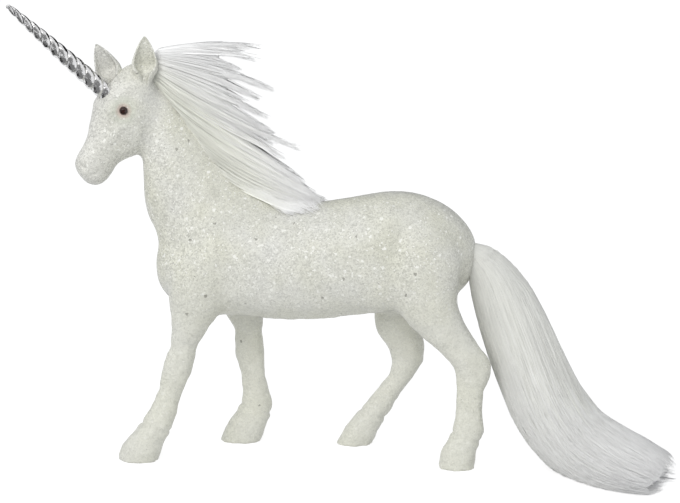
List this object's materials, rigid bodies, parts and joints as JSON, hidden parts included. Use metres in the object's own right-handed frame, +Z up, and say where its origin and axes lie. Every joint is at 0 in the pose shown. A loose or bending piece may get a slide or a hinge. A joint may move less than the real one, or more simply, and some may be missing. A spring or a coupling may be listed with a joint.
{
  "type": "unicorn figurine",
  "caption": "Standing unicorn ornament with a glitter coat, a twisted bright horn, bead eyes and a mane and tail of loose fibre.",
  "frame": {"origin": "on the ground, below the middle of the whole ornament's bounding box", "axes": "-X where the animal walks and looks, +Y towards its right side, +Z up"},
  "size_m": [0.3262, 0.0922, 0.231],
  "materials": {
    "glitter_coat": "pearl white paint with fine iridescent glitter",
    "horn_metal": "bright silver",
    "eye_glass": "polished dark garnet",
    "steel_wire": "plain drawn wire",
    "hair_fibre": "combed pale grey white fibre",
    "backing_cloth": "woven white thread",
    "peg_wood": "plain birch"
  },
  "bodies": {
    "root": {"torso": "glitter_coat", "neck": "glitter_coat", "head": "glitter_coat", "left_ear": "glitter_coat", "right_ear": "glitter_coat", "front_left_leg": "glitter_coat", "front_right_leg": "glitter_coat", "hind_left_leg": "glitter_coat", "hind_right_leg": "glitter_coat", "horn": "horn_metal", "left_eye_bead": "eye_glass", "right_eye_bead": "eye_glass", "left_eye_pin": "steel_wire", "right_eye_pin": "steel_wire", "spine_wire": "steel_wire", "neck_wire": "steel_wire", "front_left_leg_wire": "steel_wire", "front_right_leg_wire": "steel_wire", "hind_left_leg_wire": "steel_wire", "hind_right_leg_wire": "steel_wire", "mane_weft": "backing_cloth", "tail_binding": "backing_cloth", "mane_hair": "hair_fibre", "tail_hair": "hair_fibre", "tail_peg": "peg_wood"}
  },
  "joints": []
}
